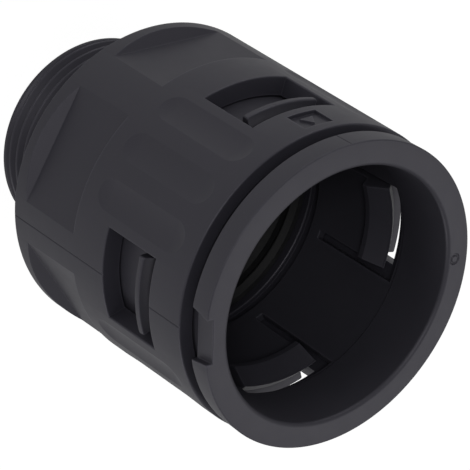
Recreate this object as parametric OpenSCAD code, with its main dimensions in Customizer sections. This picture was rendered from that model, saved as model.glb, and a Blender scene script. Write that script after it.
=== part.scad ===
// Push-in connector that joins a corrugated conduit to a threaded hole in a box.
// The origin is at the centre of the thread's end face, and +Z runs along the conduit.

/* [Thread spigot] */
// Outside diameter of the metric thread
thread_d = 25; // [20:0.5:27]
// Length of the thread, from its end to the shoulder
thread_length = 13; // [9:0.5:20]
// Height of the chamfer at the end of the thread
thread_lead = 0.4; // [0.3:0.1:1.5]
// Length of the plain groove between thread and shoulder
thread_relief = 1.4; // [0.8:0.1:2]
// Depth of the plain groove below the thread's outside
thread_relief_depth = 0.95; // [0.5:0.05:1.2]
// How far the groove in the shoulder reaches past the thread
shoulder_groove = 0.4; // [0.2:0.1:1]
// Depth of the groove in the shoulder
shoulder_groove_depth = 0.5; // [0.3:0.1:1]
// Diameter of the passage for the wires
passage_d = 19.2; // [14:0.2:20]
// Chamfer at both ends of the passage
passage_edge = 0.6; // [0.2:0.1:1]

/* [Body] */
// Length of the body, from the shoulder to its front edge
body_length = 30.5; // [28:0.5:40]
// Outside diameter at the front edge
body_front_d = 35; // [35:0.1:36.4]
// Outside diameter at the shoulder
body_rear_d = 37; // [36.6:0.1:38]
// Chamfer at the front edge
body_front_edge = 0.2; // [0.1:0.05:0.6]
// Chamfer at the shoulder
body_rear_edge = 0.2; // [0.1:0.05:0.6]
// Thickness of the round collar behind the wrench flats
collar_t = 2.4; // [1.5:0.1:4]
// Number of wrench flats
flat_count = 6; // [4:1:8]
// Distance across two opposite wrench flats, at the collar
flat_across = 34.1; // [33.8:0.1:35]
// Length of the wrench flats
flat_length = 9.1; // [6:0.1:10]
// Thickness of the floor between the thread and the socket
floor_t = 2.6; // [2:0.1:4]

/* [Windows] */
// Number of windows, and of the fingers under them
window_count = 4; // [3:1:4]
// Width of a window as an angle
window_angle = 34.6; // [30:0.2:38]
// Length of a window along the body
window_length = 8.2; // [7.6:0.1:9]
// Distance from the body's front edge to a window
window_setback = 5.2; // [4.8:0.1:6]

/* [Grip recesses] */
// Number of grip recesses between two windows
grip_count = 3; // [1:1:3]
// Width of a grip recess
grip_width = 3.5; // [2:0.1:4]
// Length of a grip recess
grip_length = 13.9; // [8:0.1:14.5]
// Depth of a grip recess
grip_depth = 0.3; // [0.2:0.05:0.6]
// Angle from one grip recess to the next
grip_step = 18; // [14:0.5:19]
// Distance from the body's front edge to a grip recess
grip_setback = 2.5; // [1.5:0.1:3.5]

/* [Sign recess] */
// Width of the square recess in front of a window
recess_width = 3.6; // [2:0.1:4]
// Length of the square recess along the body
recess_length = 3; // [2:0.1:3.4]
// Depth of the square recess
recess_depth = 0.4; // [0.1:0.05:0.5]
// Distance from the body's front edge to the square recess
recess_setback = 1.1; // [0.8:0.1:1.6]

/* [Socket] */
// Diameter of the socket in which the locking ring slides
socket_d = 31.6; // [31:0.1:32]
// Diameter of the seat that holds the conduit seal
seat_d = 30.4; // [29:0.1:30.6]
// Height of the seal's seat above the floor
seat_height = 7.8; // [7.6:0.1:8]

/* [Locking ring] */
// Gap between the ring's flange and the body, as the ring stands
ring_gap = 1.5; // [0.8:0.1:2]
// Radial clearance between the ring's sleeve and the socket
ring_clearance = 0.2; // [0.1:0.05:0.35]
// Thickness of the ring's flange
flange_t = 2.6; // [1.8:0.1:3.5]
// Diameter of the ring's flange
flange_d = 34.6; // [34:0.1:35]
// Chamfer around the flange's rim
flange_edge = 0.15; // [0.1:0.05:0.5]
// Diameter of the throat that takes the conduit
throat_d = 28.9; // [28.6:0.1:29.2]
// Length of the throat, from the ring's front face
throat_length = 7.2; // [6:0.1:7.5]
// Radius of the rounded mouth of the throat
throat_round = 0.5; // [0.3:0.1:1.2]
// Inside diameter of the sleeve behind the throat
sleeve_bore_d = 29.3; // [29.1:0.1:29.6]
// Distance from the seal's seat to the ring's end, as the ring stands
ring_end_gap = 1.8; // [1.7:0.1:2.2]
// Width of the notch that a screwdriver goes in, at the front face
notch_width = 5; // [3:0.1:6]
// How much wider the notch is on each side at the flange's back
notch_flare = 0.5; // [0.1:0.1:0.8]
// Depth of the notch in the flange
notch_depth = 1; // [0.5:0.1:1.2]

/* [Fingers] */
// Width of a finger as an angle
finger_angle = 39; // [36:0.5:42]
// Width of the slots along both sides of a finger
finger_slot = 1; // [0.6:0.1:1.2]
// Length of the closed ring behind the fingers
finger_root = 1.8; // [1.2:0.1:2.5]
// Gap between a finger's tip and the front of the ring, inside
tip_gap = 1.5; // [1.2:0.1:1.8]
// Distance from the tip gap's front to the body's front edge
tip_setback = 3.7; // [3.2:0.1:4]
// How far a finger's tip slopes back through the wall
tip_slope = 0.95; // [0.5:0.05:1.2]
// Angle by which the tip gap reaches past the slots on each side
tip_reach = 0.6; // [0.3:0.1:1]
// How far a claw stands into the throat
claw_height = 0.95; // [0.5:0.05:1.2]
// Plain edge between a finger's tip and its claw
claw_lead = 0.3; // [0.1:0.05:0.6]
// Length of a claw's ramp
claw_ramp = 2.3; // [1.5:0.1:3]
// Width of a claw's crest
claw_crest = 0.7; // [0.4:0.1:1]
// Length of a claw's steep back
claw_back = 0.4; // [0.2:0.1:0.6]
// Diameter over the ribs that show in the windows
rib_d = 34.6; // [33:0.1:34.8]
// Width of a rib as an angle
rib_angle = 30.4; // [20:0.2:32]
// Width of a rib's top along the ring
rib_top = 0.8; // [0.6:0.1:1.4]
// Length of the slope behind a rib
rib_back = 0.7; // [0.3:0.1:1]
// Distance from the rib to the window's front edge, as the ring stands
rib_gap = 1.9; // [1.8:0.1:2.2]

/* [Conduit seal] */
// Clearance between the seal and its seat
seal_clearance = 0.05; // [0.02:0.01:0.1]
// Height of the seal
seal_height = 6.9; // [6:0.1:7.4]
// Thickness of the washer that the conduit's end rests on
seal_base = 1.6; // [1:0.1:2]
// Inside diameter of that washer
seal_base_d = 22.4; // [20.5:0.1:24]
// Thickness of the seal's wall
seal_wall = 0.75; // [0.5:0.05:0.9]
// How far the two lips stand in from the wall
lip_height = 0.5; // [0.2:0.05:0.7]
// Length of a lip along the seal
lip_length = 1.5; // [0.8:0.1:1.7]
// Distance between the two lips
lip_step = 2.3; // [2:0.1:2.4]

/* [Hidden] */
$fn = 96;

// Extra length by which a cut runs past the solid
over = 1;
plastic = [0.20, 0.20, 0.22];
ring_plastic = [0.23, 0.23, 0.25];
rubber = [0.10, 0.10, 0.10];

// Heights along the axis
shoulder_z = thread_length;
front_z = shoulder_z + body_length;
floor_z = shoulder_z + floor_t;
flats_z = shoulder_z + collar_t;
seat_top_z = floor_z + seat_height;
window_front_z = front_z - window_setback;
window_z = window_front_z - window_length;
grip_z = front_z - grip_setback - grip_length / 2;
recess_z = front_z - recess_setback - recess_length / 2;
ring_z = seat_top_z + ring_end_gap;
flange_z = front_z + ring_gap;
top_z = flange_z + flange_t;
slot_z = ring_z + finger_root;
slot_front_z = front_z - tip_setback;
throat_z = top_z - throat_length;
tip_z = slot_front_z - tip_gap;
rib_front_z = window_front_z - rib_gap;

// Radii
front_r = body_front_d / 2;
rear_r = body_rear_d / 2;
socket_r = socket_d / 2;
sleeve_r = socket_r - ring_clearance;
throat_r = throat_d / 2;
bore_r = sleeve_bore_d / 2;
claw_r = throat_r - claw_height;
seal_r = seat_d / 2 - seal_clearance;
window_step = 360 / window_count;
slot_angle = asin(finger_slot / throat_r);
draft = atan((rear_r - front_r) / body_length);

// Outside radius of the tapered body at a height
function wall_r(z) = rear_r + (front_r - rear_r) * (z - shoulder_z) / body_length;

// Half of the body's section, which is turned round the axis
module body_section() {
    thread_r = thread_d / 2;
    relief_r = thread_r - thread_relief_depth;
    passage_r = passage_d / 2;
    polygon([
        [passage_r + passage_edge, 0],
        [thread_r - thread_lead, 0],
        [thread_r, thread_lead],
        [thread_r, shoulder_z - thread_relief],
        [relief_r, shoulder_z - thread_relief + thread_relief_depth / 2],
        [relief_r, shoulder_z + shoulder_groove_depth],
        [thread_r + shoulder_groove, shoulder_z + shoulder_groove_depth],
        [thread_r + shoulder_groove, shoulder_z],
        [wall_r(shoulder_z) - body_rear_edge, shoulder_z],
        [wall_r(shoulder_z + body_rear_edge), shoulder_z + body_rear_edge],
        [wall_r(front_z - body_front_edge), front_z - body_front_edge],
        [front_r - body_front_edge, front_z],
        [socket_r, front_z],
        [socket_r, seat_top_z],
        [seat_d / 2, seat_top_z],
        [seat_d / 2, floor_z],
        [passage_r + passage_edge, floor_z],
        [passage_r, floor_z - passage_edge],
        [passage_r, passage_edge]
    ]);
}

// Wedge about the axis, pointing along +X, used to cut windows
module wedge(angle, z_low, z_high) {
    reach = rear_r + over;
    translate([0, 0, z_low])
        linear_extrude(z_high - z_low)
            polygon([
                [0, 0],
                [reach, -reach * tan(angle / 2)],
                [reach, reach * tan(angle / 2)]
            ]);
}

// Piece of a turned section that spans an angle about +X
module sector(angle) {
    rotate([0, 0, -angle / 2])
        rotate_extrude(angle = angle)
            children();
}

// The flats lean in with the wall's taper, and leave the collar whole behind them
module wrench_flats() {
    for (i = [0 : flat_count - 1])
        rotate([0, 0, i * 360 / flat_count])
            translate([0, rear_r, flats_z])
                rotate([90, 0, 0])
                    linear_extrude(2 * rear_r)
                        polygon([
                            [flat_across / 2, 0],
                            [rear_r + over, 0],
                            [rear_r + over, flat_length],
                            [flat_across / 2 - flat_length * tan(draft), flat_length]
                        ]);
}

// A long bead sinks into the wall, and its print is one grip recess
module grip_bead() {
    wall = wall_r(grip_z);
    half = grip_width / 2;
    sunk = grip_depth - wall + sqrt(wall * wall - half * half);
    bead_r = (half * half + sunk * sunk) / (2 * sunk);
    straight = grip_length - grip_width;
    translate([wall - grip_depth + bead_r, 0, grip_z])
        rotate([0, -draft, 0]) {
            cylinder(h = straight, r = bead_r, center = true);
            for (side = [-1, 1])
                translate([0, 0, side * straight / 2])
                    sphere(r = bead_r);
        }
}

module grip_recesses() {
    for (quarter = [0 : window_count - 1], i = [0 : grip_count - 1])
        rotate([0, 0, (quarter + 0.5) * window_step + (i - (grip_count - 1) / 2) * grip_step])
            grip_bead();
}

// Places its children once for each window and the finger under it
module each_window() {
    for (i = [0 : window_count - 1])
        rotate([0, 0, i * window_step])
            children();
}

module body() {
    color(plastic)
        difference() {
            rotate_extrude() body_section();
            wrench_flats();
            grip_recesses();
            each_window() wedge(window_angle, window_z, window_front_z);
            translate([wall_r(recess_z) - recess_depth, -recess_width / 2, recess_z - recess_length / 2])
                cube([recess_depth + over, recess_width, recess_length]);
        }
}

// Flange, throat and sleeve in one turned section, with a rounded mouth
module ring_section() {
    difference() {
        union() {
            polygon([
                [throat_r, flange_z],
                [flange_d / 2 - flange_edge, flange_z],
                [flange_d / 2, flange_z + flange_edge],
                [flange_d / 2, top_z - flange_edge],
                [flange_d / 2 - flange_edge, top_z],
                [throat_r, top_z]
            ]);
            translate([throat_r, throat_z])
                square([sleeve_r - throat_r, flange_z - throat_z + flange_t / 2]);
            translate([bore_r, ring_z])
                square([sleeve_r - bore_r, throat_z - ring_z + over]);
        }
        difference() {
            translate([throat_r - over, top_z - throat_round])
                square([throat_round + over, throat_round + over]);
            translate([throat_r + throat_round, top_z - throat_round])
                circle(r = throat_round);
        }
    }
}

// Space in front of a finger, whose tip slopes back through the wall
module tip_space() {
    inner = throat_r - tip_gap / 2;
    sector(finger_angle + 2 * (slot_angle + tip_reach))
        polygon([
            [inner, tip_z + (bore_r - inner) * tip_slope],
            [socket_r, tip_z - (socket_r - bore_r) * tip_slope],
            [socket_r, slot_front_z],
            [inner, slot_front_z]
        ]);
}

// Slots beside a finger, which end inside the space in front of its tip
module finger_slots() {
    for (side = [-1, 1])
        rotate([0, 0, side * finger_angle / 2])
            translate([0, side > 0 ? 0 : -finger_slot, slot_z])
                cube([rear_r, finger_slot, slot_front_z - tip_gap / 2 - slot_z]);
}

// Claw that drops into a groove of the conduit, trimmed later by the slots beside it
module claw() {
    root_r = (bore_r + sleeve_r) / 2;
    ramp_z = tip_z - claw_lead;
    crest_z = ramp_z - claw_ramp;
    back_z = crest_z - claw_crest;
    sector(finger_angle + slot_angle)
        polygon([
            [bore_r, ramp_z],
            [claw_r, crest_z],
            [claw_r, back_z],
            [bore_r, back_z - claw_back],
            [root_r, back_z - claw_back],
            [root_r, ramp_z]
        ]);
}

// Rib that stands in the window and stops the ring
module rib() {
    rib_r = rib_d / 2;
    inner = (bore_r + sleeve_r) / 2;
    sector(rib_angle)
        polygon([
            [inner, rib_front_z - rib_top - rib_back],
            [sleeve_r, rib_front_z - rib_top - rib_back],
            [rib_r, rib_front_z - rib_top],
            [rib_r, rib_front_z],
            [inner, rib_front_z]
        ]);
}

// Notch in the flange's rim, wider towards the body
module notch() {
    slope = notch_flare / flange_t;
    front = notch_width / 2 - over * slope;
    back = notch_width / 2 + notch_flare + over * slope;
    rotate([0, 0, 90])
        translate([flange_d / 2 - notch_depth, 0, flange_z])
            rotate([90, 0, 90])
                linear_extrude(notch_depth + over)
                    polygon([[-back, -over], [back, -over], [front, flange_t + over], [-front, flange_t + over]]);
}

module locking_ring() {
    color(ring_plastic)
        difference() {
            union() {
                rotate_extrude() ring_section();
                each_window() claw();
                each_window() rib();
            }
            each_window() tip_space();
            each_window() finger_slots();
            notch();
        }
}

// Washer for the conduit's end, and a wall with two lips
module conduit_seal() {
    wall_in = seal_r - seal_wall;
    lip_in = wall_in - lip_height;
    color(rubber)
        rotate_extrude() {
            translate([seal_base_d / 2, floor_z])
                square([seal_r - seal_base_d / 2, seal_base]);
            translate([wall_in, floor_z])
                square([seal_wall, seal_height]);
            for (i = [0, 1])
                translate([0, floor_z + seal_height - i * lip_step])
                    polygon([
                        [wall_in + seal_wall / 2, 0],
                        [wall_in, 0],
                        [lip_in, -lip_length / 2],
                        [wall_in, -lip_length],
                        [wall_in + seal_wall / 2, -lip_length]
                    ]);
        }
}

body();
locking_ring();
conduit_seal();
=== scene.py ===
# %% [markdown]
# # A push-in connector for corrugated conduit
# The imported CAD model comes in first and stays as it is: it gives the size, the place and the moving
# bodies of the three moulded parts. This lesson models each part again with the edges, thread and
# seams that the plain solids leave out, and gives it a finish. Everything is in metres, with the
# thread's end on the floor at the origin and the conduit's opening upwards.

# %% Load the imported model
import math

import bmesh
import bpy
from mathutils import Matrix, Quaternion, Vector


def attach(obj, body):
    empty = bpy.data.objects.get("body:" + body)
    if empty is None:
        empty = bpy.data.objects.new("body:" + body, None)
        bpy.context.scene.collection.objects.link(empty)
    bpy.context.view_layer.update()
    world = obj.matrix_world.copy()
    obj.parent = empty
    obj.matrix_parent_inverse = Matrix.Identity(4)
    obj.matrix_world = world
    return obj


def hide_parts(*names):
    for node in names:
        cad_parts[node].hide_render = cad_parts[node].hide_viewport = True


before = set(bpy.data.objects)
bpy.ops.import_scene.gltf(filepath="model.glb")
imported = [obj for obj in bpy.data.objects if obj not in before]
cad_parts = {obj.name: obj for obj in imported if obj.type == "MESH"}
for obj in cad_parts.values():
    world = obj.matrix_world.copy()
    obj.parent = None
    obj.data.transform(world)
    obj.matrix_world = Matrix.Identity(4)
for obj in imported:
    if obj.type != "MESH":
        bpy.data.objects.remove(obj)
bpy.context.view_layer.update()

MM = 0.001

# %% [markdown]
# Drawing is done as by hand: operators act on what is selected, so each step first clears the
# selection and then picks points, edges or faces by where they are. A turned part is easiest to pick
# in turned coordinates, so one helper gives a point's distance from the axis, angle and height.


# %% Helpers for picking by place
def place(co):
    """Distance from the axis in mm, angle in degrees and height in mm of a point."""
    return math.hypot(co.x, co.y) / MM, math.degrees(math.atan2(co.y, co.x)), co.z / MM


def centre(item):
    """Middle of a vertex, an edge or a face."""
    if isinstance(item, bmesh.types.BMVert):
        return item.co
    return sum((v.co for v in item.verts), Vector()) / len(item.verts)


def from_window(angle, count=4):
    """Angle to the nearest of the windows, which are evenly spaced."""
    step = 360 / count
    return (angle + step / 2) % step - step / 2


def pick(obj, kind, test, rims_only=False):
    """In edit mode, selects the items of one kind for which test(radius, angle, height) holds."""
    bpy.ops.mesh.select_mode(type=kind)
    bpy.ops.mesh.select_all(action="DESELECT")
    mesh = bmesh.from_edit_mesh(obj.data)
    items = {"VERT": mesh.verts, "EDGE": mesh.edges, "FACE": mesh.faces}[kind]
    found = 0
    for item in items:
        if test(*place(centre(item))) and not (rims_only and not item.is_boundary):
            item.select_set(True)
            found += 1
    bmesh.update_edit_mesh(obj.data)
    return found


def bridge_windows(obj):
    """Bridges the two rims of the hole at each of the four windows."""
    for window in (0, 90, 180, 270):
        pick(obj, "EDGE", lambda r, a, z: abs((a - window + 180) % 360 - 180) < 30, rims_only=True)
        bpy.ops.mesh.bridge_edge_loops()


def near(value, target, margin=0.02):
    return abs(value - target) < margin


def edit():
    bpy.ops.object.mode_set(mode="EDIT")


def leave():
    bpy.ops.object.mode_set(mode="OBJECT")


def only(obj):
    """Makes obj the only selected object, and the active one."""
    bpy.ops.object.select_all(action="DESELECT")
    obj.select_set(True)
    bpy.context.view_layer.objects.active = obj


print("picking by place is ready")

# %% [markdown]
# Every main part is round, so it starts as half of its section: one vertex is extruded from point to
# point, and the line is spun about the axis. Spinning keeps clean columns of faces, which a Boolean
# cut would break, so windows and slots can be opened by deleting faces and bridging the two walls.
# 480 columns of 0.75 degrees put a column on each edge of a window, a slot and a rib.


# %% Helpers for turned parts
STEPS = 480


def bend(middle, radius, start, end, parts=7):
    """Points (radius, height) on an arc about middle, from one angle in degrees to another."""
    angles = [math.radians(start + (end - start) * i / parts) for i in range(parts + 1)]
    return [(middle[0] + radius * math.cos(a), middle[1] + radius * math.sin(a)) for a in angles]


def draw_section(name, points):
    """Draws a closed line through points (radius, height) and leaves it in edit mode."""
    bpy.ops.object.select_all(action="DESELECT")
    bpy.ops.mesh.primitive_plane_add(size=MM)
    obj = bpy.context.object
    obj.name = name
    edit()
    bpy.ops.mesh.merge(type="CENTER")
    bpy.ops.transform.translate(value=(points[0][0] * MM, 0, points[0][1] * MM))
    for here, there in zip(points, points[1:] + points[:1]):
        step = ((there[0] - here[0]) * MM, 0, (there[1] - here[1]) * MM)
        bpy.ops.mesh.extrude_region_move(TRANSFORM_OT_translate={"value": step})
    return obj


def tidy_mesh():
    """Merges doubles and turns all faces outwards, in edit mode."""
    bpy.ops.mesh.select_all(action="SELECT")
    bpy.ops.mesh.remove_doubles(threshold=0.002 * MM)
    bpy.ops.mesh.normals_make_consistent(inside=False)


def turn(name, points, steps=STEPS):
    """A closed ring of the section through points, in edit mode."""
    obj = draw_section(name, points)
    bpy.ops.mesh.select_all(action="SELECT")
    bpy.ops.mesh.spin(steps=steps, angle=math.tau, center=(0, 0, 0), axis=(0, 0, 1))
    tidy_mesh()
    return obj


def modify(obj, kind, **settings):
    """Adds a modifier and applies it at once."""
    only(obj)
    modifier = obj.modifiers.new(kind.lower(), kind)
    for key, value in settings.items():
        setattr(modifier, key, value)
    bpy.ops.object.modifier_apply(modifier=modifier.name)


def combine(obj, tool, operation):
    """Boolean of obj with tool, which is used up."""
    modify(obj, "BOOLEAN", operation=operation, solver="EXACT", object=tool)
    bpy.data.objects.remove(tool)


def fuse(objects):
    """Joins separate meshes into the first of them, as one tool for a Boolean."""
    bpy.ops.object.select_all(action="DESELECT")
    for obj in objects:
        obj.select_set(True)
    bpy.context.view_layer.objects.active = objects[0]
    bpy.ops.object.join()
    return objects[0]


def copies_round(obj, angles):
    """Copies of obj, each with its own mesh, turned about the axis to the angles. Uses up obj."""
    made = []
    for angle in angles:
        only(obj)
        bpy.ops.object.duplicate()
        copy = bpy.context.object
        edit()
        bpy.ops.mesh.select_all(action="SELECT")
        bpy.ops.transform.rotate(
            value=-math.radians(angle), orient_axis="Z", orient_type="GLOBAL", center_override=(0, 0, 0)
        )
        leave()
        made.append(copy)
    bpy.data.objects.remove(obj)
    return made


def say(obj):
    low = [min(v.co[i] for v in obj.data.vertices) / MM for i in range(3)]
    high = [max(v.co[i] for v in obj.data.vertices) / MM for i in range(3)]
    sizes = " x ".join("%.2f" % (b - a) for a, b in zip(low, high))
    print("%s: %d vertices, %s mm, from z %.2f" % (obj.name, len(obj.data.vertices), sizes, low[2]))


print("one turned part has", STEPS, "columns")

# %% [markdown]
# ## The body
# The body is one moulding: a metric thread, a collar, a slightly tapered barrel and a socket for the
# locking ring. Its section follows the CAD heights, with a small radius on each outer edge, because a
# moulded edge is never sharp and its highlight is what shows the shape of dark plastic.

# %% Body: section and spin
FRONT_Z, SHOULDER_Z, FLOOR_Z, SEAT_TOP_Z = 43.5, 13, 15.6, 23.4
WINDOW_Z, WINDOW_FRONT_Z = 30.1, 38.3
FRONT_R, REAR_R, SOCKET_R, SEAT_R, PASSAGE_R, CORE_R = 17.5, 18.5, 15.8, 15.2, 9.6, 11.5


def wall_r(z):
    """Radius of the tapered barrel at a height."""
    return REAR_R + (FRONT_R - REAR_R) * (z - SHOULDER_Z) / (FRONT_Z - SHOULDER_Z)


edge = 0.2
body_section = [(PASSAGE_R + 0.6, 0), (CORE_R - 0.15, 0), (CORE_R, 0.15)]
body_section += bend((CORE_R + 0.4, SHOULDER_Z - 0.4), 0.4, 180, 90)
body_section += bend((wall_r(SHOULDER_Z + edge) - edge, SHOULDER_Z + edge), edge, -90, 0)
body_section += [(wall_r(z), z) for z in (WINDOW_Z, WINDOW_FRONT_Z)]
body_section += bend((wall_r(FRONT_Z - edge) - edge, FRONT_Z - edge), edge, 0, 90)
body_section += [(SOCKET_R + 0.12, FRONT_Z), (SOCKET_R, FRONT_Z - 0.12)]
body_section += [(SOCKET_R, z) for z in (WINDOW_FRONT_Z, WINDOW_Z, SEAT_TOP_Z)]
body_section += [(SEAT_R + 0.1, SEAT_TOP_Z), (SEAT_R, SEAT_TOP_Z - 0.1)]
body_section += bend((SEAT_R - 0.3, FLOOR_Z + 0.3), 0.3, 0, -90, 3)
body_section += [(PASSAGE_R + 0.6, FLOOR_Z), (PASSAGE_R, FLOOR_Z - 0.6), (PASSAGE_R, 0.6)]
body = turn("connector_body", body_section)
leave()
say(body)

# %% [markdown]
# Four windows open the barrel over the ring's fingers. The faces are deleted on both walls and the two
# rims bridged, so the window's sides run towards the axis as in the CAD model. The outer rim is then
# bevelled, because light catches it in a thin line.

# %% Body: windows
HALF_WINDOW = 17.25


def in_window(r, a, z):
    return abs(from_window(a)) < HALF_WINDOW and WINDOW_Z < z < WINDOW_FRONT_Z and r > SOCKET_R - 0.3


only(body)
edit()
print("window faces:", pick(body, "FACE", in_window))
bpy.ops.mesh.delete(type="FACE")
bridge_windows(body)
tidy_mesh()


def on_rim(r, a, z):
    across = near(abs(from_window(a)), HALF_WINDOW, 0.1) and WINDOW_Z - 0.1 < z < WINDOW_FRONT_Z + 0.1
    along = abs(from_window(a)) < HALF_WINDOW + 0.1 and (near(z, WINDOW_Z) or near(z, WINDOW_FRONT_Z))
    return near(r, wall_r(z)) and (across or along)


print("rim edges:", pick(body, "EDGE", on_rim))
bpy.ops.mesh.bevel(offset=0.14 * MM, segments=7, profile=0.5, clamp_overlap=True)
leave()
say(body)

# %% [markdown]
# Each quarter of the barrel has three shallow recesses, so a wet hand can hold it. A recess is the
# print of a long bead that sinks a little into the wall. The bead is a sphere pulled apart at its
# equator, and only its cap is kept, so that neighbours don't meet. Cut solids give the crisp ends that
# the photograph shows, so one Boolean takes all twelve out.

# %% Body: grip recesses
GRIP_WIDTH, GRIP_LENGTH, GRIP_DEPTH, GRIP_Z, GRIP_STEP = 3.5, 13.9, 0.3, 34.05, 18
DRAFT = math.atan((REAR_R - FRONT_R) / (FRONT_Z - SHOULDER_Z))
grip_wall = wall_r(GRIP_Z)
sunk = GRIP_DEPTH - grip_wall + math.sqrt(grip_wall ** 2 - GRIP_WIDTH ** 2 / 4)
bead_r = (GRIP_WIDTH ** 2 / 4 + sunk ** 2) / (2 * sunk)
bpy.ops.object.select_all(action="DESELECT")
bpy.ops.mesh.primitive_uv_sphere_add(segments=256, ring_count=128, radius=bead_r * MM)
bead = bpy.context.object
edit()
for side in (1, -1):
    pick(bead, "VERT", lambda r, a, z: z * side > 0.01)
    bpy.ops.transform.translate(value=(0, 0, side * (GRIP_LENGTH - GRIP_WIDTH) / 2 * MM))
bpy.ops.mesh.select_all(action="SELECT")
bpy.ops.mesh.bisect(
    plane_co=((0.5 - bead_r) * MM, 0, 0), plane_no=(1, 0, 0), clear_outer=True, threshold=1e-7
)
print("cap rim edges:", pick(bead, "EDGE", lambda r, a, z: True, rims_only=True))
bpy.ops.mesh.edge_face_add()
tidy_mesh()
bpy.ops.transform.translate(value=((bead_r - GRIP_DEPTH) * MM, 0, 0))
bpy.ops.transform.rotate(value=DRAFT, orient_axis="Y", orient_type="GLOBAL", center_override=(0, 0, 0))
bpy.ops.transform.translate(value=(grip_wall * MM, 0, GRIP_Z * MM))
leave()
say(bead)
grip_angles = [quarter + 45 + side * GRIP_STEP for quarter in (0, 90, 180, 270) for side in (-1, 0, 1)]
combine(body, fuse(copies_round(bead, grip_angles)), "DIFFERENCE")
say(body)

# %% [markdown]
# A spanner holds the body on six flats behind the windows. They lean in with the wall's taper, so the
# part slips out of the mould, and run out into the collar on a slope. The same Boolean takes out the square sign recess in front of one
# window and the hair-wide line that two halves of the mould leave along the barrel.

# %% Body: wrench flats, sign recess and parting lines
FLATS_Z, FLAT_LENGTH, FLAT_R, RUN_OUT = 15.4, 9.1, 17.05, 0.7
RECESS_Z, RECESS_DEPTH, RECESS_WIDTH, RECESS_LENGTH = 40.9, 0.4, 3.6, 3


def block(low, high):
    """A box between two corners in mm, with its place in its mesh."""
    bpy.ops.object.select_all(action="DESELECT")
    bpy.ops.mesh.primitive_cube_add(size=MM)
    obj = bpy.context.object
    edit()
    size = [b - a for a, b in zip(low, high)]
    bpy.ops.transform.resize(value=size)
    bpy.ops.transform.translate(value=[(a + b) / 2 * MM for a, b in zip(low, high)])
    leave()
    return obj


def groove_knife(radius_low, z_low, radius_high, z_high, depth):
    """A four-sided rod along the wall, whose inner edge cuts a fine groove."""
    bpy.ops.object.select_all(action="DESELECT")
    bpy.ops.mesh.primitive_cylinder_add(vertices=4, radius=0.2 * MM, depth=(z_high - z_low) * MM)
    obj = bpy.context.object
    edit()
    pick(obj, "VERT", lambda r, a, z: z > 0)
    bpy.ops.transform.translate(value=((radius_high - radius_low) * MM, 0, 0))
    bpy.ops.mesh.select_all(action="SELECT")
    place_x = radius_low + 0.2 - depth
    bpy.ops.transform.translate(value=(place_x * MM, 0, (z_low + z_high) / 2 * MM))
    leave()
    return obj


flat = block((FLAT_R, -12, FLATS_Z), (FLAT_R + 4, 12, FLATS_Z + FLAT_LENGTH))
edit()
pick(flat, "VERT", lambda r, a, z: r < FLAT_R + 4 and z > FLATS_Z + 1)
bpy.ops.transform.translate(value=(-FLAT_LENGTH * math.tan(DRAFT) * MM, 0, 0))
pick(flat, "VERT", lambda r, a, z: r > FLAT_R + 4 and z < FLATS_Z + 1)
bpy.ops.transform.translate(value=(0, 0, -4 * RUN_OUT * MM))
leave()
flats = copies_round(flat, range(0, 360, 60))
half_w, half_l = RECESS_WIDTH / 2, RECESS_LENGTH / 2
recess_floor = wall_r(RECESS_Z) - RECESS_DEPTH
recess = block((recess_floor, -half_w, RECESS_Z - half_l), (recess_floor + 2, half_w, RECESS_Z + half_l))
lines = copies_round(groove_knife(wall_r(12), 12, wall_r(44.5), 44.5, 0.1), (90, 270))
combine(body, fuse(flats + [recess] + lines), "DIFFERENCE")
say(body)

# %% [markdown]
# The thread is metric, 25 mm with a pitch of 1.5 mm. The Screw modifier winds one pitch of its section
# up the axis, which keeps every turn alike, and two bisecting planes close its ends. A turned sleeve
# with chamfered ends trims it, so the first turn fades out as a real one does.

# %% Body: metric thread
PITCH, THREAD_R, ROOT_R = 1.5, 12.5, 11.58
crest = [(ROOT_R, 0), (ROOT_R, 0.12), (THREAD_R - 0.07, 0.6), (THREAD_R, 0.69), (THREAD_R, 0.81)]
crest += [(THREAD_R - 0.07, 0.9), (ROOT_R, 1.38), (ROOT_R, 1.5)]
bpy.ops.object.select_all(action="DESELECT")
bpy.ops.mesh.primitive_plane_add(size=MM)
thread = bpy.context.object
edit()
bpy.ops.mesh.merge(type="CENTER")
bpy.ops.transform.translate(value=(crest[0][0] * MM, 0, -1.7 * PITCH * MM))
for here, there in zip(crest, crest[1:]):
    step = ((there[0] - here[0]) * MM, 0, (there[1] - here[1]) * MM)
    bpy.ops.mesh.extrude_region_move(TRANSFORM_OT_translate={"value": step})
leave()
modify(thread, "SCREW", axis="Z", steps=144, render_steps=144, screw_offset=PITCH * MM, iterations=11)
edit()
tidy_mesh()
for height, up in ((-0.5, -1), (12.6, 1)):
    bpy.ops.mesh.select_all(action="SELECT")
    bpy.ops.mesh.bisect(
        plane_co=(0, 0, height * MM), plane_no=(0, 0, up), use_fill=True, clear_outer=True, threshold=1e-7
    )
tidy_mesh()
leave()
say(thread)
trim = [(10.9, 0.05), (12.3, 0.05), (12.55, 0.3), (12.55, 11.35), (11.3, 12.2), (10.9, 12.2)]
sleeve = turn("thread_sleeve", trim, 144)
leave()
combine(thread, sleeve, "INTERSECT")
mouth_section = [(11.0, 0.02), (12.2, 0.02), (12.46, 0.28), (12.46, 0.7), (11.6, 1.3), (11.0, 1.3)]
mouth = turn("thread_mouth", mouth_section, 150)
leave()
combine(thread, mouth, "UNION")
say(thread)
combine(body, thread, "UNION")
say(body)
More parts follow.
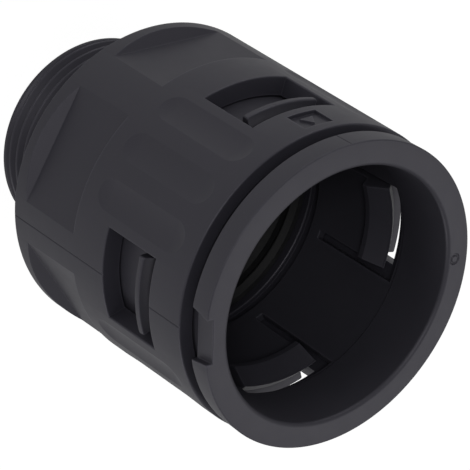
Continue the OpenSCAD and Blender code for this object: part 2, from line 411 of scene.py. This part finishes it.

# %% [markdown]
# The square recess holds a sign on the real part. A plain raised arrowhead stands in for it, and
# points the way the ring is pulled. It is a three-sided cylinder.

# %% Body: arrowhead in the recess
bpy.ops.object.select_all(action="DESELECT")
bpy.ops.mesh.primitive_cylinder_add(vertices=3, radius=0.95 * MM, depth=0.5 * MM)
arrow = bpy.context.object
edit()
bpy.ops.mesh.select_all(action="SELECT")
for axis in "YX":
    bpy.ops.transform.rotate(
        value=-math.pi / 2, orient_axis=axis, orient_type="GLOBAL", center_override=(0, 0, 0)
    )
tips = [v.co.z for v in bmesh.from_edit_mesh(arrow.data).verts]
print("arrowhead from %.2f to %.2f mm" % (min(tips) / MM, max(tips) / MM))
bpy.ops.transform.translate(value=((recess_floor - 0.02) * MM, 0, (RECESS_Z - 0.2) * MM))
leave()
combine(body, arrow, "UNION")
say(body)

# %% [markdown]
# ## The locking ring
# The ring is one moulding too: a flange to pull on, a throat that takes the conduit, and a sleeve cut
# into four spring fingers. Each finger has a claw inside, which drops into a groove of the conduit,
# and a rib outside, which shows in a window and stops the ring. The two walls of its section have the
# same number of rows, so the slots can be bridged across them.

# %% Ring: section and spin
RING_Z, SLOT_Z, TIP_Z, TIP_OUT_Z, SLOT_FRONT_Z, FLANGE_Z, TOP_Z = 25.2, 27, 38.3, 37.4, 39.8, 45, 47.6
SLEEVE_R, BORE_R, THROAT_R, CLAW_R, RIB_R, FLANGE_R, NOTCH_R = 15.6, 14.65, 14.45, 13.5, 17.6, 17.3, 16.3
RIB_BACK_Z, RIB_SLOPE, RIB_FRONT_Z = 34.9, 0.7, 36.4
rows_out = [SLOT_Z, 29.6, 32.2, 34, RIB_BACK_Z, RIB_FRONT_Z, 36.9, TIP_OUT_Z, SLOT_FRONT_Z]
rows_in = [SLOT_Z, 30, 33, 34.6, 35, 35.7, 38, TIP_Z, SLOT_FRONT_Z]
ring_section = [(SLEEVE_R, FLANGE_Z), (NOTCH_R, FLANGE_Z)]
ring_section += bend((FLANGE_R - 0.15, FLANGE_Z + 0.15), 0.15, -90, 0)
ring_section += bend((FLANGE_R - 0.15, TOP_Z - 0.15), 0.15, 0, 90)
ring_section += [(NOTCH_R, TOP_Z)]
ring_section += bend((THROAT_R + 0.5, TOP_Z - 0.5), 0.5, 90, 180, 8)
ring_section += [(THROAT_R, 40.4), (BORE_R, 40.2)]
ring_section += [(BORE_R, z) for z in reversed(rows_in)]
ring_section += [(BORE_R, RING_Z + 0.15), (BORE_R + 0.15, RING_Z), (SLEEVE_R - 0.15, RING_Z)]
ring_section += [(SLEEVE_R, RING_Z + 0.15)]
ring_section += [(SLEEVE_R, z) for z in rows_out]
ring = turn("ring_moulding", ring_section)

# %% [markdown]
# While both walls are whole, the rows of the claws are scaled inwards and the ribs extruded outwards,
# all four at once, which keeps the middle of the selection on the axis. Then the slots and the space
# in front of each tip are opened as one C-shaped hole and bridged like the windows.

# %% Ring: claws and ribs
FINGER, SLOT_EDGE, RIB_HALF = 19.5, 23.25, 15


def scale_round(factor):
    """Scales the selection towards or away from the axis."""
    bpy.ops.transform.resize(value=(factor, factor, 1), center_override=(0, 0, 0))


def on_claw(r, a, z):
    return near(r, BORE_R) and abs(from_window(a)) < FINGER + 0.1 and (near(z, 35) or near(z, 35.7))


print("claw vertices:", pick(ring, "VERT", on_claw))
scale_round(CLAW_R / BORE_R)


def on_rib(r, a, z):
    return near(r, SLEEVE_R) and abs(from_window(a)) < RIB_HALF and RIB_BACK_Z < z < RIB_FRONT_Z


def on_rib_rim(r, a, z):
    across = near(z, RIB_FRONT_Z) or near(z, RIB_BACK_Z + RIB_SLOPE)
    return near(r, RIB_R, 0.05) and (across or near(abs(from_window(a)), RIB_HALF, 0.1))


print("rib faces:", pick(ring, "FACE", on_rib))
bpy.ops.mesh.extrude_region_move()
scale_round(RIB_R / SLEEVE_R)
pick(ring, "VERT", lambda r, a, z: near(r, RIB_R) and z < RIB_FRONT_Z - 0.1)
bpy.ops.transform.resize(value=(1, 1, 0), center_override=(0, 0, (RIB_BACK_Z + RIB_SLOPE) * MM))
print("rib rims:", pick(ring, "EDGE", on_rib_rim))
bpy.ops.mesh.bevel(offset=0.22 * MM, segments=7, profile=0.5, clamp_overlap=True)

# %% Ring: slots and finger tips


def in_slot(r, a, z):
    turned = abs(from_window(a))
    beside = FINGER < turned < SLOT_EDGE and SLOT_Z < z < SLOT_FRONT_Z
    ahead = turned < FINGER and z < SLOT_FRONT_Z and z > (TIP_OUT_Z if r > 15.2 else TIP_Z)
    return r < SLEEVE_R + 0.1 and (beside or ahead)


print("slot faces:", pick(ring, "FACE", in_slot))
bpy.ops.mesh.delete(type="FACE")


bridge_windows(ring)
tidy_mesh()
leave()
say(ring)

# %% [markdown]
# A notch in the flange takes a screwdriver that pulls the ring out. It widens towards the body. The
# two columns beside it are moved into its sloping sides, row by row, and its floor is flattened. The
# faces between are deleted, a floor is bridged between the two rows left open, and the ends are filled.

# %% Ring: screwdriver notch
NOTCH_FRONT, NOTCH_BACK, NOTCH_COLUMN = 2.5, 3.0, 10.5


def notch_part(r, a, z):
    return r > NOTCH_R - 0.1 and z > FLANGE_Z - 0.1 and abs(a - 90) < NOTCH_COLUMN + 0.1


def notch_rim(r, a, z):
    return near(r * math.sin(math.radians(a)), NOTCH_R, 0.01) and notch_part(r, a, z)


only(ring)
edit()
pick(ring, "VERT", lambda r, a, z: notch_part(r, a, z) and near(r, NOTCH_R, 0.05))
bpy.ops.transform.resize(value=(1, 0, 1), center_override=(0, NOTCH_R * MM, 0))
print("notch faces:", pick(ring, "FACE", lambda r, a, z: notch_part(r, a, z) and r > NOTCH_R + 0.1))
bpy.ops.mesh.delete(type="FACE")
end_column = NOTCH_R * math.sin(math.radians(NOTCH_COLUMN))
for height in {round(v.co.z / MM, 3) for v in bmesh.from_edit_mesh(ring.data).verts if v.co.z > FLANGE_Z * MM - MM}:
    half = NOTCH_FRONT + (NOTCH_BACK - NOTCH_FRONT) * (TOP_Z - height) / (TOP_Z - FLANGE_Z)
    pick(ring, "VERT", lambda r, a, z: notch_rim(r, a, z) and near(z, height, 0.002))
    bpy.ops.transform.resize(value=(half / end_column, 1, 1), center_override=(0, 0, 0))
    for side in (-1, 1):
        pick(
            ring,
            "VERT",
            lambda r, a, z: notch_part(r, a, z) and near(z, height, 0.002) and near(a, 90 + side * NOTCH_COLUMN, 0.3),
        )
        bpy.ops.transform.resize(value=(0, 1, 1), center_override=(-side * half * MM, 0, 0))
print("floor rims:", pick(ring, "EDGE", notch_rim, rims_only=True))
bpy.ops.mesh.bridge_edge_loops()
for side in (-1, 1):
    pick(ring, "EDGE", lambda r, a, z: (a - 90) * side > 0, rims_only=True)
    bpy.ops.mesh.edge_face_add()
tidy_mesh()
print("open edges:", sum(e.is_boundary for e in bmesh.from_edit_mesh(ring.data).edges))
leave()
modify(ring, "BEVEL", width=0.07 * MM, segments=2, limit_method="ANGLE", angle_limit=math.radians(50))
say(ring)

# %% [markdown]
# Two small marks tell how the ring was moulded: a fine line across the rim where the mould's halves
# met, and a round witness on the front face where the plastic was let in. One Boolean cuts both.

# %% Ring: parting line and gate mark
rim_line = copies_round(groove_knife(FLANGE_R, FLANGE_Z - 1, FLANGE_R, TOP_Z + 1, 0.1), (0,))
bpy.ops.object.select_all(action="DESELECT")
bpy.ops.mesh.primitive_torus_add(
    major_radius=0.5 * MM, minor_radius=0.18 * MM, major_segments=72, minor_segments=28
)
gate = bpy.context.object
edit()
bpy.ops.mesh.select_all(action="SELECT")
bpy.ops.transform.translate(value=(0, -15.5 * MM, (TOP_Z + 0.03) * MM))
leave()
combine(ring, fuse(rim_line + [gate]), "DIFFERENCE")
say(ring)

# %% [markdown]
# ## The conduit seal
# The soft seal lies at the bottom of the socket: a washer on which the conduit's end rests, and a thin
# wall with two lips that press on the conduit. Rubber has no sharp edges, so every corner of the
# section is a short arc.

# %% Seal
SEAL_R, WALL_R, LIP_R, BASE_R, BASE_TOP = 15.15, 14.4, 13.9, 11.2, 17.2


def lip(top):
    """Rounded lip that ends at a height, as points from its lower side to its upper side."""
    return [(WALL_R, top - 1.5)] + bend((LIP_R + 0.2, top - 0.75), 0.2, 230, 130, 6) + [(WALL_R, top)]


seal_section = bend((SEAL_R - 0.15, FLOOR_Z + 0.15), 0.15, -90, 0, 3)
seal_section += bend((SEAL_R - 0.15, 22.5 - 0.15), 0.15, 0, 90, 3)
seal_section += [(WALL_R, 22.5)] + lip(22.5)[-2::-1] + lip(20.2)[::-1]
seal_section += bend((WALL_R - 0.3, BASE_TOP + 0.3), 0.3, 0, -90, 4)
seal_section += bend((BASE_R + 0.25, BASE_TOP - 0.25), 0.25, 90, 180, 4)
seal_section += bend((BASE_R + 0.25, FLOOR_Z + 0.25), 0.25, 180, 270, 4)
seal = turn("conduit_seal_rubber", seal_section, 240)
leave()
say(seal)

# %% [markdown]
# ## Finishes
# The plastic is a dark polyamide with a satin, spark-eroded skin. Its shader is written as sums of
# node values: one small class wraps a number socket, so that 0.3 * grain + 0.1 adds the Math nodes.

# %% Shader helpers


class Number:
    """A node socket that holds one value, for use in Python sums."""

    def __init__(self, finish, socket):
        self.finish, self.socket = finish, socket

    def sum_of(self, operation, first, second):
        node = self.finish.node("ShaderNodeMath", {"operation": operation}, {0: first, 1: second})
        return Number(self.finish, node.outputs[0])

    def __add__(self, other):
        return self.sum_of("ADD", self, other)

    def __sub__(self, other):
        return self.sum_of("SUBTRACT", self, other)

    def __rsub__(self, other):
        return self.sum_of("SUBTRACT", other, self)

    def __mul__(self, other):
        return self.sum_of("MULTIPLY", self, other)

    __radd__, __rmul__ = __add__, __mul__


class Finish:
    """A material whose nodes are added one by one."""

    def __init__(self, name):
        self.material = bpy.data.materials.new(name)
        self.material.use_nodes = True
        self.tree = self.material.node_tree
        self.tree.nodes.clear()
        self.points = self.node("ShaderNodeTexCoord").outputs["Object"]

    def node(self, kind, settings=None, values=None):
        """Adds a node, sets its settings, then gives its sockets values or links."""
        node = self.tree.nodes.new(kind)
        for key, value in (settings or {}).items():
            if key == "stops":
                for stop, (position, color) in zip(node.color_ramp.elements, value):
                    stop.position, stop.color = position, color
            else:
                setattr(node, key, value)
        for key, value in (values or {}).items():
            value = value.socket if isinstance(value, Number) else value
            if isinstance(value, bpy.types.NodeSocket):
                self.tree.links.new(value, node.inputs[key])
            else:
                node.inputs[key].default_value = value
        return node

    def noise(self, size_mm, detail=2.0, roughness=0.5):
        """Noise between 0 and 1 whose lumps are about size_mm across."""
        values = {"Vector": self.points, "Scale": 1 / (size_mm * MM), "Detail": detail, "Roughness": roughness}
        return Number(self, self.node("ShaderNodeTexNoise", {}, values).outputs["Fac"])

    def ramp(self, fac, low, high):
        """0 below low, 1 above high, and a slope between."""
        stops = [(low, (0, 0, 0, 1)), (high, (1, 1, 1, 1))]
        return Number(self, self.node("ShaderNodeValToRGB", {"stops": stops}, {"Fac": fac}).outputs["Color"])

    def blend(self, fac, first, second):
        """Colour that runs from first to second with fac."""
        node = self.node("ShaderNodeMix", {"data_type": "RGBA"}, {0: fac, 6: first, 7: second})
        return node.outputs[2]


print("shader helpers are ready")

# %% [markdown]
# The moulded skin has three scales: faint clouds a few millimetres wide, where the melt flowed and
# cooled unevenly, patches of more and less gloss, and a grain of about a tenth of a millimetre that
# only roughens the highlights. Raised edges are painted paler, partly as rubbed wear and partly as a
# painted highlight. Occlusion measured towards the inside finds them: where rays that run into the
# plastic soon come out again, the surface is at an edge.

# %% Plastic finishes


def plastic(name, dark, light, gloss):
    """Satin moulded plastic between two colours, with a base roughness."""
    finish = Finish(name)
    clouds = finish.noise(6.0, 3.0)
    patches = finish.noise(1.6, 4.0, 0.6)
    grain = finish.noise(0.16, 3.0, 0.6)
    skin = finish.noise(0.5, 2.0)
    specks = finish.ramp(finish.noise(0.35, 1.0), 0.70, 0.76)
    rounded = finish.node("ShaderNodeBevel", {"samples": 6}, {"Radius": 0.12 * MM}).outputs["Normal"]
    inward = finish.node(
        "ShaderNodeAmbientOcclusion", {"samples": 6, "inside": True, "only_local": True}, {"Distance": 0.3 * MM}
    )
    edges = 1 - finish.ramp(inward.outputs["AO"], 0.5, 0.9)
    # Edges are painted paler: partly rubbed wear, partly a painted highlight along each edge.
    wear_and_highlight = edges * (0.3 + 0.5 * patches)
    base = finish.blend(0.6 * clouds + 0.4 * patches, (*dark, 1), (*light, 1))
    worn_and_highlit = finish.blend(wear_and_highlight + 0.12 * specks, base, (*(c * 2.0 for c in light), 1))
    rough = gloss + 0.10 * patches + 0.05 * clouds - 0.05 * edges
    height = 0.6 * grain + 0.4 * skin
    bump = finish.node(
        "ShaderNodeBump", {}, {"Strength": 0.22, "Distance": 0.02 * MM, "Height": height, "Normal": rounded}
    )
    shader = finish.node(
        "ShaderNodeBsdfPrincipled",
        {},
        {
            "Base Color": worn_and_highlit,
            "Roughness": rough,
            "IOR": 1.5,
            "Specular Tint": (0.93, 0.90, 1.0, 1),
            "Normal": bump.outputs["Normal"],
        },
    )
    output = finish.node("ShaderNodeOutputMaterial")
    finish.tree.links.new(shader.outputs["BSDF"], output.inputs["Surface"])
    return finish.material


def dress(obj, material, angle=14):
    """Gives a piece its finish, and smooth shading up to an angle between faces."""
    only(obj)
    obj.data.materials.clear()
    obj.data.materials.append(material)
    bpy.ops.object.shade_smooth_by_angle(angle=math.radians(angle))


body_finish = plastic("body_plastic_finish", (0.026, 0.025, 0.033), (0.033, 0.032, 0.041), 0.40)
ring_finish = plastic("ring_plastic_finish", (0.029, 0.028, 0.036), (0.037, 0.036, 0.045), 0.42)
dress(body, body_finish)
dress(ring, ring_finish)
print("plastic on", body.name, "and", ring.name)

# %% [markdown]
# The seal is black rubber: duller than the plastic, with fine dust in its pores and almost no colour.

# %% Rubber finish
finish = Finish("seal_rubber_finish")
pores, dust = finish.noise(0.12, 4.0, 0.7), finish.noise(1.2, 3.0)
color = finish.blend(finish.ramp(dust, 0.45, 0.75) * 0.5, (0.010, 0.010, 0.011, 1), (0.024, 0.024, 0.024, 1))
bump = finish.node("ShaderNodeBump", {}, {"Strength": 0.35, "Distance": 0.02 * MM, "Height": pores})
shader = finish.node(
    "ShaderNodeBsdfPrincipled",
    {},
    {"Base Color": color, "Roughness": 0.62 + 0.15 * dust, "IOR": 1.5, "Normal": bump.outputs["Normal"]},
)
output = finish.node("ShaderNodeOutputMaterial")
finish.tree.links.new(shader.outputs["BSDF"], output.inputs["Surface"])
dress(seal, finish.material)
print("rubber on", seal.name)

# %% [markdown]
# ## Hand the pieces over
# Each new piece stands for its CAD node and moves with that node's body.

# %% Ride and replace
for piece, carrier, node, slot in (
    (body, "connector_body", "body", "body_plastic"),
    (ring, "ring", "locking_ring", "ring_plastic"),
    (seal, "connector_body", "conduit_seal", "seal_rubber"),
):
    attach(piece, carrier)
    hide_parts(node)
    print(piece.name, "rides on", carrier)

# %% [markdown]
# ## Studio
# The photograph looks into the conduit's opening from above, with the axis lying to the lower right.
# The camera is placed by azimuth, elevation and roll about the point it aims at, as found from the
# circles of the opening. The background is white because the floor shows white to the camera, so
# the lamps can stay at a plain level.

# %% Camera
AZIMUTH, ELEVATION, ROLL, DISTANCE = (math.radians(49.51), math.radians(45.18), math.radians(123.15), 205.8)
aim = Vector((-0.468, 0.4, 29.541)) * MM
back = Vector((math.cos(AZIMUTH) * math.cos(ELEVATION), math.sin(AZIMUTH) * math.cos(ELEVATION), math.sin(ELEVATION)))
turned = back.to_track_quat("Z", "Y") @ Quaternion((0, 0, 1), ROLL)
right, up = turned @ Vector((1, 0, 0)), turned @ Vector((0, 1, 0))
bpy.ops.object.camera_add(location=aim + back * DISTANCE * MM, rotation=turned.to_euler())
camera = bpy.context.object
camera.data.sensor_width, camera.data.lens = 36, 144.23
camera.data.clip_start, camera.data.clip_end = 0.01, 20
bpy.context.scene.camera = camera
bpy.context.scene.view_settings.view_transform = "Standard"
print("camera up", [round(c, 3) for c in up])

# %% Floor
bpy.ops.mesh.primitive_plane_add(size=6)
floor = bpy.context.object
floor.name = "floor"
paper = Finish("floor_paper")
tooth = paper.noise(0.8, 4.0)
bump = paper.node("ShaderNodeBump", {}, {"Strength": 0.05, "Distance": 0.05 * MM, "Height": tooth})
matt = paper.node(
    "ShaderNodeBsdfPrincipled",
    {},
    {"Base Color": (0.8, 0.8, 0.8, 1), "Roughness": 0.9, "Normal": bump.outputs["Normal"]},
)
shine = paper.node("ShaderNodeEmission", {}, {"Color": (1, 1, 1, 1), "Strength": 1.12})
rays = paper.node("ShaderNodeLightPath").outputs
seen = Number(paper, rays["Is Camera Ray"]) + Number(paper, rays["Is Transmission Ray"])
seen = seen + Number(paper, rays["Is Glossy Ray"]) * 0.1
mixed = paper.node("ShaderNodeMixShader", {}, {0: seen * 0.86, 1: matt.outputs[0], 2: shine.outputs[0]})
output = paper.node("ShaderNodeOutputMaterial")
paper.tree.links.new(mixed.outputs[0], output.inputs["Surface"])
floor.data.materials.append(paper.material)
print("floor at z 0")

# %% World and lamps
world = bpy.data.worlds.new("studio")
bpy.context.scene.world = world
world.use_nodes = True
nodes, links = world.node_tree.nodes, world.node_tree.links
nodes.clear()
white = nodes.new("ShaderNodeBackground")
white.inputs["Strength"].default_value = 1
soft = nodes.new("ShaderNodeBackground")
soft.inputs["Strength"].default_value = 0.3
for lamp in (white, soft):
    lamp.inputs["Color"].default_value = (1, 1, 1, 1)
path = nodes.new("ShaderNodeLightPath")
mix = nodes.new("ShaderNodeMixShader")
sky = nodes.new("ShaderNodeOutputWorld")
links.new(path.outputs["Is Camera Ray"], mix.inputs[0])
links.new(soft.outputs[0], mix.inputs[1])
links.new(white.outputs[0], mix.inputs[2])
links.new(mix.outputs[0], sky.inputs["Surface"])


def softbox(name, azimuth, elevation, distance, size, watts):
    """A round area lamp that shines at the part from a direction in degrees."""
    turn_z, lift = math.radians(azimuth), math.radians(elevation)
    direction = Vector((math.cos(turn_z) * math.cos(lift), math.sin(turn_z) * math.cos(lift), math.sin(lift)))
    facing = direction.to_track_quat("Z", "Y").to_euler()
    bpy.ops.object.light_add(type="AREA", location=aim + direction * distance, rotation=facing)
    lamp = bpy.context.object
    lamp.name = name
    lamp.data.shape, lamp.data.size, lamp.data.energy = "DISK", size, watts
    print(name, "at", [round(c, 2) for c in lamp.location])


softbox("left_lamp", 140, 8, 1.0, 0.35, 1.7)
softbox("right_lamp", -25, 8, 1.0, 0.35, 1.3)
softbox("back_lamp", 229, 48, 1.0, 0.7, 1.7)
softbox("fill_lamp", 49, 46, 1.0, 0.3, 2.0)
